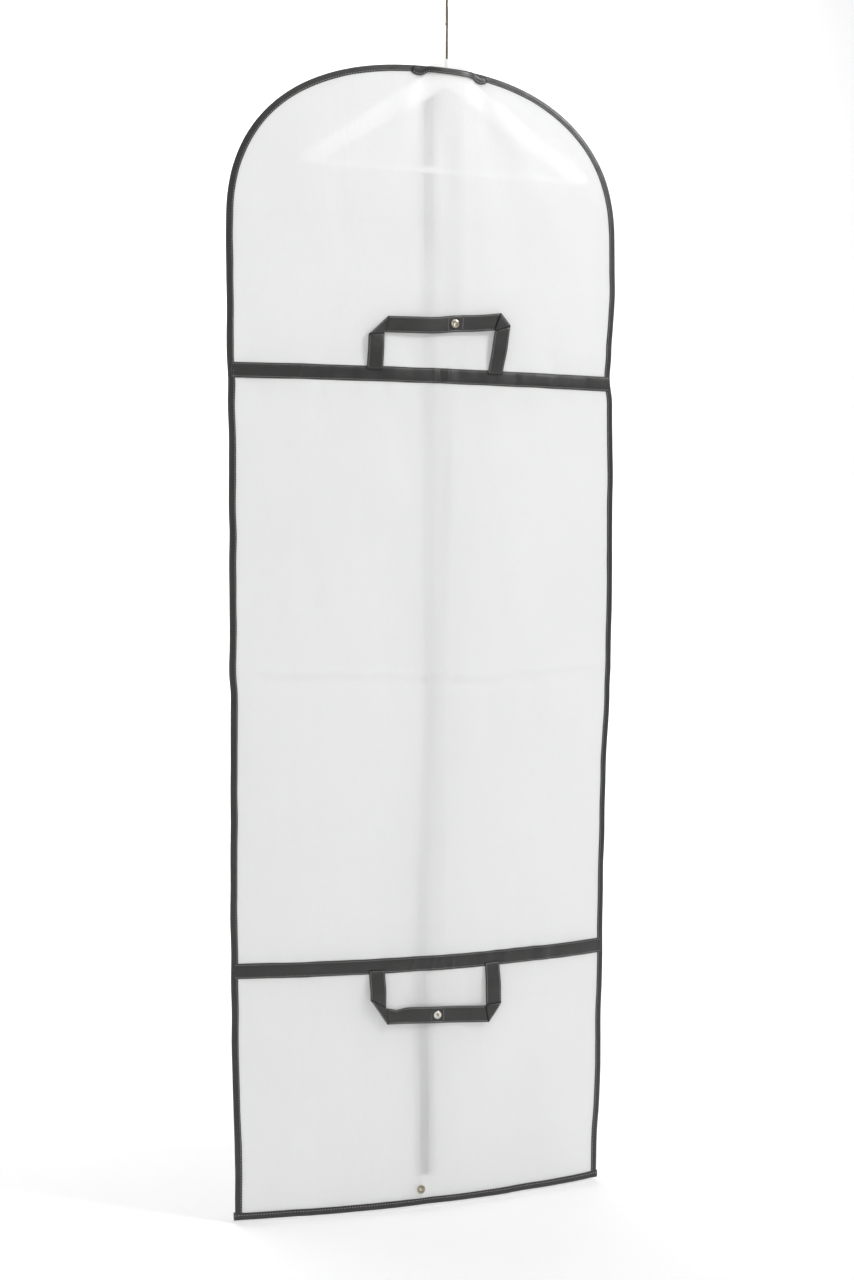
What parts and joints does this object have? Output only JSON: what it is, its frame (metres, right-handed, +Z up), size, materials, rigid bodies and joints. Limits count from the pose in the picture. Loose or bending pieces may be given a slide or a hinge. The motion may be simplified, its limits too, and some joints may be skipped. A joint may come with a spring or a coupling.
{
  "type": "folding garment bag",
  "caption": "Long arched garment bag on its hanger: four fabric sections that fold in three places, two strap handles with snap halves, a bottom eyelet and a rear zip.",
  "frame": {"origin": "the point inside the top of the hook where a rail carries it", "axes": "+Z up, -Y towards the carry side with the two handles, +Y towards the zip side, +X along the hanger to the right as seen from the carry side"},
  "size_m": [0.596, 0.0615, 1.7495],
  "materials": {
    "bag_fabric": "soft translucent white film cloth with a faint sheen",
    "binding_leather": "black grained leather cloth, satin, stitched along its edges",
    "nickel": "polished nickel plate",
    "hanger_plastic": "moulded white plastic",
    "zip_tape": "woven black zip tape",
    "zip_coil": "black nylon coil"
  },
  "bodies": {
    "hook": {"hook": "nickel"},
    "top_section": {"hanger": "hanger_plastic", "front_panel_top": "bag_fabric", "back_panel_top_left": "bag_fabric", "back_panel_top_right": "bag_fabric", "arch_binding": "binding_leather", "neck_binding_front": "binding_leather", "neck_binding_back": "binding_leather", "zip_tape_top_left": "zip_tape", "zip_tape_top_right": "zip_tape", "zip_coil_top": "zip_coil", "zip_top_stops": "nickel"},
    "upper_mid_section": {"front_panel_upper_mid": "bag_fabric", "back_panel_upper_mid_left": "bag_fabric", "back_panel_upper_mid_right": "bag_fabric", "side_binding_upper_mid_left": "binding_leather", "side_binding_upper_mid_right": "binding_leather", "upper_band": "binding_leather", "zip_tape_upper_mid_left": "zip_tape", "zip_tape_upper_mid_right": "zip_tape", "zip_coil_upper_mid": "zip_coil"},
    "lower_mid_section": {"front_panel_lower_mid": "bag_fabric", "back_panel_lower_mid_left": "bag_fabric", "back_panel_lower_mid_right": "bag_fabric", "side_binding_lower_mid_left": "binding_leather", "side_binding_lower_mid_right": "binding_leather", "lower_band": "binding_leather", "zip_tape_lower_mid_left": "zip_tape", "zip_tape_lower_mid_right": "zip_tape", "zip_coil_lower_mid": "zip_coil"},
    "bottom_section": {"front_panel_bottom": "bag_fabric", "back_panel_bottom_left": "bag_fabric", "back_panel_bottom_right": "bag_fabric", "side_binding_bottom_left": "binding_leather", "side_binding_bottom_right": "binding_leather", "bottom_binding": "binding_leather", "eyelet": "nickel", "eyelet_washer": "nickel", "zip_tape_bottom_left": "zip_tape", "zip_tape_bottom_right": "zip_tape", "zip_coil_bottom": "zip_coil", "zip_bottom_stop": "nickel"},
    "upper_handle": {"upper_handle": "binding_leather", "upper_snap_socket": "nickel", "upper_snap_cap": "nickel"},
    "lower_handle": {"lower_handle": "binding_leather", "lower_snap_stud": "nickel", "lower_snap_cap": "nickel"},
    "zip_slider": {"zip_slider": "nickel"},
    "zip_pull": {"zip_pull": "nickel"}
  },
  "joints": [
    {"name": "hook_swivel", "type": "hinge", "parent": "top_section", "child": "hook", "pos_m": [0, 0, -0.08], "axis": [0, 0, 1], "continuous": true},
    {"name": "upper_fold", "type": "hinge", "parent": "top_section", "child": "upper_mid_section", "pos_m": [-0.024, 0.0135, -0.539], "axis": [1, 0, 0], "range_deg": [0, 170]},
    {"name": "middle_fold", "type": "hinge", "parent": "upper_mid_section", "child": "lower_mid_section", "pos_m": [-0.024, 0.0135, -0.972], "axis": [-1, 0, 0], "range_deg": [-170, 0]},
    {"name": "lower_fold", "type": "hinge", "parent": "lower_mid_section", "child": "bottom_section", "pos_m": [-0.024, 0.0045, -1.405], "axis": [1, 0, 0], "range_deg": [0, 170]},
    {"name": "upper_handle_swing", "type": "hinge", "parent": "upper_mid_section", "child": "upper_handle", "pos_m": [-0.024, -0.0305, -0.54], "axis": [1, 0, 0], "range_deg": [0, 170]},
    {"name": "lower_handle_swing", "type": "hinge", "parent": "lower_mid_section", "child": "lower_handle", "pos_m": [-0.027, -0.0305, -1.404], "axis": [-1, 0, 0], "range_deg": [0, 170]},
    {"name": "zip_slide", "type": "slide", "parent": "top_section", "child": "zip_slider", "axis": [0, 0, 1], "range_m": [-0.835, 0]},
    {"name": "zip_pull_swing", "type": "hinge", "parent": "zip_slider", "child": "zip_pull", "pos_m": [-0.024, 0.0165, -0.1233], "axis": [1, 0, 0], "range_deg": [0, 170]}
  ]
}
